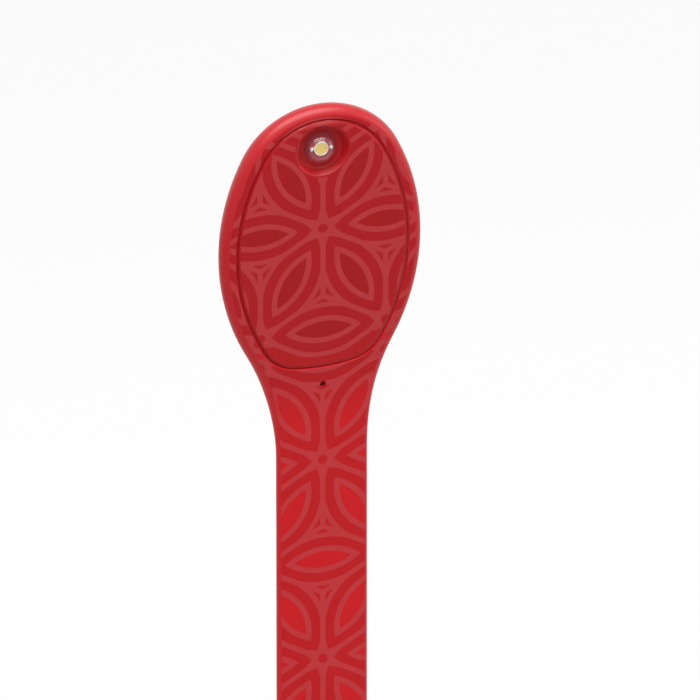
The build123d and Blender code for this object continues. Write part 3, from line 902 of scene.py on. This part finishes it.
@dataclass
class Lamp:
    """The lamp in its dish: its clear dome, the cup round its phosphor, and its joints."""

    shop: Workshop
    dome_radius: float = 3.3
    dome_height: float = 2.5
    flange_radius: float = 3.7
    dome_steps: int = 14
    dome_sides: int = 96
    foot_inset: Pair = (0.04, 0.02)
    foot_sunk: float = 0.5
    foot_bevel: float = 0.05
    foot_sides: int = 64
    cup_inner: float = 1.0
    cup_outer: float = 1.15
    cup_proud: float = 0.02
    cup_depth: float = 0.3
    cup_bevel: float = 0.03
    wire_radius: float = 0.035
    wire_resolution: tuple[int, int] = (3, 16)
    wire_foot: float = 0.85
    wire_bow: Pair = (0.2, -0.3)
    joint_sides: int = 24
    joint_steps: tuple = ((0.55, 0.0), (0.42, 0.07), (0.34, 0.17), (0.3, 0.28), (0, 0.28))

    def build_dome(self) -> None:
        """Casts the solid dome, which shows what stands inside it larger."""
        sphere = (self.dome_radius**2 + self.dome_height**2) / (2 * self.dome_height)
        foot = math.asin(self.dome_radius / sphere)
        middle = LENS_RIM_Y - self.dome_height + sphere
        profile = [(self.flange_radius, LENS_BACK_Y), (self.flange_radius, DISH_BACK_Y)]
        profile += [(self.dome_radius, DISH_BACK_Y), (self.dome_radius, LENS_RIM_Y)]
        for step in range(1, self.dome_steps):
            lean = foot * (1 - step / self.dome_steps)
            profile.append((sphere * math.sin(lean), middle - sphere * math.cos(lean)))
        profile.append((0, LENS_RIM_Y - self.dome_height))
        piece = self.shop.turned("led_dome", (0, LED_Z), profile, self.dome_sides)
        self.shop.finish(piece, LENS_RESIN, Slot.LENS)
        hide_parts("led_lens")
        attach(piece, "head")

    def build_foot(self) -> None:
        """Casts the dark foot that the lead frame lies on, inside the dome's resin."""
        side, rear = self.foot_inset
        radius, front = self.dome_radius - side, PHOSPHOR_Y + self.foot_sunk
        profile = [(radius, LENS_BACK_Y - rear), (radius, front + self.foot_bevel)]
        profile += [(radius - self.foot_bevel, front), (0, front)]
        piece = self.shop.turned("lamp_foot", (0, LED_Z), profile, self.foot_sides)
        self.shop.finish(piece, FOOT_RESIN, Slot.LENS)
        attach(piece, "head")

    def build_cup(self) -> None:
        """Forms the thin cup wall round the phosphor."""
        inner, outer, lip = self.cup_inner, self.cup_outer, self.cup_proud
        rim, foot = PHOSPHOR_Y - lip, PHOSPHOR_Y + self.cup_depth
        profile = [(outer, foot), (outer, rim + self.cup_bevel), (outer - self.cup_bevel, rim)]
        profile += [(inner + lip, rim), (inner, rim + lip), (inner, foot), (outer, foot)]
        piece = self.shop.turned("reflector_cup", (0, LED_Z), profile)
        self.shop.finish(piece, CUP_METAL, Slot.METAL)
        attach(piece, "head")

    def build_joint(self, side: int) -> None:
        """Builds the solder cone round a post's foot, on the board.

        Args:
            side: -1 for the left post, 1 for the right.
        """
        profile = [(r, BOARD_FRONT_Y - y) for r, y in self.joint_steps]
        name = "solder_left" if side < 0 else "solder_right"
        piece = self.shop.turned(name, (side * POST_X, LED_Z), profile, self.joint_sides)
        self.shop.finish(piece, SOLDER, Slot.METAL, ROUND_ANGLE)
        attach(piece, "head")

    def build_wire(self) -> None:
        """Bends the bond wire from the phosphor's edge over to the right post."""
        self.shop.start()
        bpy.ops.curve.primitive_bezier_curve_add()
        curve = bpy.context.object.data
        curve.bevel_depth = self.wire_radius * MM
        curve.bevel_resolution, curve.resolution_u = self.wire_resolution
        bow, rise = self.wire_bow
        foot, head = curve.splines[0].bezier_points
        for point, across, lean in ((foot, self.wire_foot, bow), (head, POST_X, -bow)):
            place = Vector((across, PHOSPHOR_Y - self.cup_proud, LED_Z))
            point.co = place * MM
            point.handle_left_type = point.handle_right_type = "FREE"
            point.handle_left = point.handle_right = (place + Vector((lean, rise, 0))) * MM
        bpy.ops.object.convert(target="MESH")
        piece = self.shop.settle("bond_wire")
        self.shop.finish(piece, GOLD_WIRE, Slot.METAL, ROUND_ANGLE)
        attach(piece, "head")

    def build(self) -> None:
        """Builds the lamp's pieces."""
        self.build_dome()
        self.build_foot()
        self.build_cup()
        self.build_wire()
        for side in (-1, 1):
            self.build_joint(side)


@dataclass
class Fittings:
    """Small fittings on the board, the cells and the button."""

    shop: Workshop
    chip_place: Pair = (-3.7, 172.625)
    chip_size: Triple = (2.0, 0.45, 1.25)
    cap_width: float = 0.42
    cap_wrap: float = 0.04
    cap_bevel: float = 0.03
    leg_size: Triple = (0.6, 0.16, 0.7)
    leg_place: Pair = (2.2, 1.2)
    leg_bevel: float = 0.05
    cell_places: tuple = (("lower", 139.3, 0.93, 1.15), ("upper", 160.3, 2.25, 2.47))
    gasket_radius: Pair = (8.9, 9.25)
    gasket_bevel: float = 0.05
    gasket_sides: int = 96
    mark_radius: Pair = (0.98, 1.24)
    mark_depth: Pair = (3.56, 3.71)
    mark_gap: float = 38.0
    mark_bevel: float = 0.03
    mark_sides: int = 72
    bar_height: float = 1.1
    bar_drop: float = 0.28

    def build_caps(self) -> None:
        """Wraps the resistor's two ends in their metal caps."""
        (across, up), (wide, deep, tall) = self.chip_place, self.chip_size
        size = (self.cap_width, deep + self.cap_wrap, tall + self.cap_wrap)
        for name, side in (("left", -1), ("right", 1)):
            shift = side * (wide + self.cap_wrap - self.cap_width) / 2
            centre = (across + shift, BOARD_REAR_Y + size[1] / 2, up)
            piece = self.shop.chip(f"resistor_cap_{name}", size, centre, self.cap_bevel)
            self.shop.finish(piece, SOLDER, Slot.METAL)
            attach(piece, "head")

    def build_legs(self) -> None:
        """Sets the switch's four soldered legs at its sides, each with its own mesh."""
        (across, up), deep = self.leg_place, self.leg_size[1]
        first = self.shop.chip("switch_leg_1", self.leg_size, (0, 0, 0), self.leg_bevel)
        self.shop.finish(first, SOLDER, Slot.METAL)
        legs = [first]
        for number in (2, 3, 4):
            leg = first.copy()
            leg.data = first.data.copy()
            leg.name = leg.data.name = f"switch_leg_{number}"
            bpy.context.scene.collection.objects.link(leg)
            legs.append(leg)
        for leg, (side, row) in zip(legs, ((-1, -1), (1, -1), (-1, 1), (1, 1))):
            shift = Vector((side * across, BOARD_REAR_Y + deep / 2, BUTTON_Z + row * up))
            for vertex in leg.data.vertices:
                vertex.co += shift * MM
            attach(leg, "head")

    def build_gaskets(self) -> None:
        """Lays the insulating ring in the step of each cell."""
        (inner, outer), bevel = self.gasket_radius, self.gasket_bevel
        for name, up, front, rear in self.cell_places:
            profile = [(outer, rear), (outer, front + bevel), (outer - bevel, front)]
            profile += [(inner, front), (inner, rear), (outer, rear)]
            piece = self.shop.turned(f"cell_gasket_{name}", (0, up), profile, self.gasket_sides)
            self.shop.finish(piece, GASKET, Slot.CELL)
            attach(piece, "head")

    def build_mark(self) -> None:
        """Raises the usual power sign, an open ring and a bar, in the button's hollow."""
        (inner, outer), (front, rear) = self.mark_radius, self.mark_depth
        bevel = self.mark_bevel
        profile = [(outer, rear - bevel), (outer, front), (inner, front), (inner, rear - bevel)]
        profile += [(inner + bevel, rear), (outer - bevel, rear), (outer, rear - bevel)]
        ring = self.shop.turned("power_mark_ring", (0, BUTTON_Z), profile, self.mark_sides)
        limit = math.cos(math.radians(self.mark_gap))
        middle = Vector((0, 0, BUTTON_Z))
        bpy.ops.object.mode_set(mode="EDIT")
        self.shop.choose(
            ring,
            "FACE",
            lambda centre, _: (centre - middle).z > limit * (centre - middle).xz.length,
        )
        bpy.ops.mesh.delete(type="FACE")
        bpy.ops.mesh.select_mode(type="EDGE")
        bpy.ops.mesh.select_non_manifold()
        bpy.ops.mesh.fill_holes(sides=0)
        bpy.ops.object.mode_set(mode="OBJECT")
        size = (outer - inner, rear - front, self.bar_height)
        centre = (0, (front + rear) / 2, BUTTON_Z + outer - self.bar_drop)
        bar = self.shop.chip("power_mark_bar", size, centre, bevel)
        for piece in (ring, bar):
            self.shop.finish(piece, MARK_RUBBER, Slot.BUTTON)
            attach(piece, "button")

    def build(self) -> None:
        """Builds the small fittings."""
        self.build_caps()
        self.build_legs()
        self.build_gaskets()
        self.build_mark()


@dataclass
class Neck:
    """Soft skin of the neck in three lengths, and of the tail below them."""

    shop: Workshop
    rings: int = 27
    round_segments: int = 6
    tail_corner: float = 6.0
    tail_corner_segments: int = 14
    pocket_foot: float = 14.0
    straight_end: float = 3.0
    unprinted_shift: float = 0.1
    bodies: tuple[str, ...] = ("tail", "neck_link_lower", "neck_link_upper", "head")
    names: tuple[str, ...] = ("lower", "middle", "upper")

    def cover(self, piece: Piece) -> None:
        """Leaves edit mode, maps the print in metres and gives the skin its finish.

        The front is mapped by its place, and the rest is mapped clear of the print.

        Args:
            piece: The piece, at rest.
        """
        bpy.ops.object.mode_set(mode="OBJECT")
        layer = piece.data.uv_layers.new(name="print")
        for face in piece.data.polygons:
            aside = self.unprinted_shift if face.center.y > -NEAR * MM else 0.0
            for loop in face.loop_indices:
                place = piece.data.vertices[piece.data.loops[loop].vertex_index].co
                layer.data[loop].uv = (place.x + aside, place.z)
        self.shop.finish(piece, NECK_SKIN, Slot.SKIN)

    def round_edges(self, piece: Piece, wanted: Callable) -> None:
        """Rounds the chosen edges of a piece in edit mode."""
        self.shop.choose(piece, "EDGE", wanted)
        bpy.ops.mesh.bevel(offset=SKIN_ROUND * MM, segments=self.round_segments)

    def inset_slot(self, piece: Piece, wanted: Callable) -> None:
        """Insets the outline of the strip's slot in the chosen end faces.

        Args:
            piece: The piece in edit mode.
            wanted: Says of a face's middle and normal whether it is an end.
        """
        self.shop.choose(piece, "FACE", wanted)
        wall = (SKIN_THICKNESS - STRIP_SLOT_THICKNESS) / 2
        bpy.ops.mesh.inset(thickness=wall * MM, use_individual=True)
        bpy.ops.transform.resize(value=(STRIP_SLOT_WIDTH / (SKIN_WIDTH - 2 * wall), 1, 1))

    def build_sleeve(self, place: int) -> None:
        """Builds one length of the neck's skin, bored for the strip.

        Args:
            place: Which length, from 0 for the lowest.
        """
        low, high = SLEEVE_Z[place : place + 2]
        name = self.names[place]
        piece = self.shop.block(
            f"neck_skin_{name}", (SKIN_WIDTH, SKIN_THICKNESS, high - low), (0, 0, (low + high) / 2)
        )
        self.round_edges(piece, lambda a, b: abs(a.z - b.z) > NEAR)
        self.shop.choose(piece, "EDGE", lambda a, b: abs(a.z - b.z) > NEAR)
        bpy.ops.mesh.subdivide(number_cuts=self.rings)
        self.inset_slot(piece, lambda _, normal: abs(normal.z) > FACING)
        bpy.ops.mesh.bridge_edge_loops(number_cuts=self.rings)
        self.cover(piece)
        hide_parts(f"neck_sleeve_{name}")
        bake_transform(piece)

    def build_tail(self) -> None:
        """Builds the tail's skin: rounded below, with the strip's pocket open at its top."""
        top = SLEEVE_Z[0]
        piece = self.shop.block("tail_skin", (SKIN_WIDTH, SKIN_THICKNESS, top), (0, 0, top / 2))
        self.shop.choose(piece, "EDGE", lambda a, b: max(a.z, b.z) < NEAR and abs(a.y - b.y) > NEAR)
        bpy.ops.mesh.bevel(offset=self.tail_corner * MM, segments=self.tail_corner_segments)
        self.round_edges(piece, lambda a, b: a.y * b.y > 0 and min(a.z, b.z) < top - NEAR)
        self.inset_slot(piece, lambda _, normal: normal.z > FACING)
        bpy.ops.mesh.extrude_region_move(
            TRANSFORM_OT_translate={"value": (0, 0, (self.pocket_foot - top) * MM)}
        )
        self.cover(piece)
        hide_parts("tail_blade")
        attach(piece, "tail")

    def build(self) -> None:
        """Builds the tail's skin and the neck's three lengths."""
        self.build_tail()
        for place in range(len(self.names)):
            self.build_sleeve(place)


@dataclass
class Studio:
    """Floor, lamps, world and camera at the photograph's viewing angle."""

    azimuth: float = -19.12
    elevation: float = 28.6
    distance: float = 4000.0
    lens: float = 1036.0
    target: Triple = (6.0, 0.0, 129.46)
    floor_size: float = 12.0
    floor_colour: str = "EDEDED"
    floor_glow: float = 0.75
    world_strength: float = 0.26
    clip: Pair = (0.05, 50.0)
    aim: Triple = (0.0, 0.0, 140.0)
    lamps: tuple = (
        ("softbox_above", (-60, -280, 1090), (1300, 800), 16.5),
        ("fill_front", (-350, -900, 160), (900, 280), 0.2),
        ("fill_right", (900, -350, 250), (400, 600), 1.5),
    )

    def seen(self, tree: Tree) -> Socket:
        """Gives the mask of rays that show the background: camera, glossy and transmission.

        Args:
            tree: Node tree of the floor's material or the world.

        Returns:
            The mask.
        """
        mask = add_node(tree, "LightPath", out="Is Camera Ray")
        for ray in ("Is Glossy Ray", "Is Transmission Ray"):
            other = add_node(tree, "LightPath", out=ray)
            mask = add_node(tree, "Math", {0: mask, 1: other}, operation="MAXIMUM")
        return mask

    def build_floor(self) -> None:
        """Lays a pale floor that keeps the shadow and reads white."""
        bpy.ops.object.select_all(action="DESELECT")
        bpy.ops.mesh.primitive_plane_add(size=self.floor_size)
        floor = bpy.context.object
        floor.name = "floor"
        material = bpy.data.materials.new("matt_white_paper")
        tree = empty_tree(material)
        matt = add_node(tree, "BsdfDiffuse", {"Color": linear(self.floor_colour)})
        glow = add_node(tree, "Emission")
        share = add_node(
            tree, "Math", {0: self.seen(tree), 1: self.floor_glow}, operation="MULTIPLY"
        )
        mix = add_node(tree, "MixShader", {0: share, 1: matt, 2: glow})
        add_node(tree, "OutputMaterial", {"Surface": mix})
        floor.data.materials.append(material)

    def build_world(self) -> None:
        """Gives a soft even sky that reads white where it is seen."""
        world = bpy.data.worlds.new("studio")
        bpy.context.scene.world = world
        tree = empty_tree(world)
        strength = add_node(
            tree, "MapRange", {"Value": self.seen(tree), "To Min": self.world_strength}
        )
        sky = add_node(tree, "Background", {"Color": (1, 1, 1, 1), "Strength": strength})
        add_node(tree, "OutputWorld", {"Surface": sky})

    def add_lamp(self, name: str, place: tuple, size: tuple, power: float) -> None:
        """Adds a soft lamp that faces the light's head.

        Args:
            name: The lamp's name.
            place: Its place in millimetres.
            size: Its width and height in millimetres.
            power: Its power in watts.
        """
        lamp = bpy.data.lights.new(name, "AREA")
        lamp.shape = "RECTANGLE"
        lamp.size, lamp.size_y = (side * MM for side in size)
        lamp.energy = power
        holder = bpy.data.objects.new(name, lamp)
        holder.location = Vector(place) * MM
        sight = Vector(self.aim) * MM - holder.location
        holder.rotation_euler = sight.to_track_quat("-Z", "Y").to_euler()
        bpy.context.scene.collection.objects.link(holder)

    def build_camera(self) -> None:
        """Sets the camera at the photograph's viewing angle and framing."""
        turn, rise = math.radians(self.azimuth), math.radians(self.elevation)
        flat = math.cos(rise)
        back = Vector((math.sin(turn) * flat, -math.cos(turn) * flat, math.sin(rise)))
        data = bpy.data.cameras.new("camera")
        data.lens = self.lens
        data.clip_start, data.clip_end = self.clip
        camera = bpy.data.objects.new("camera", data)
        camera.location = (Vector(self.target) + back * self.distance) * MM
        camera.rotation_euler = (-back).to_track_quat("-Z", "Y").to_euler()
        bpy.context.scene.collection.objects.link(camera)
        bpy.context.scene.camera = camera

    def build(self) -> None:
        """Builds the whole studio."""
        self.build_camera()
        self.build_floor()
        self.build_world()
        for lamp in self.lamps:
            self.add_lamp(*lamp)
        bpy.context.scene.view_settings.view_transform = "Standard"


def main() -> None:
    """Builds the studio, dresses the solids and builds the new pieces."""
    logging.basicConfig(level=logging.INFO, format="%(message)s")
    Studio().build()
    shop = Workshop()
    for name, finish in NODE_FINISHES.items():
        shop.dress_node(name, finish)
    Lamp(shop).build()
    Fittings(shop).build()
    Neck(shop).build()
    shop.start()


if __name__ == "__main__":
    main()
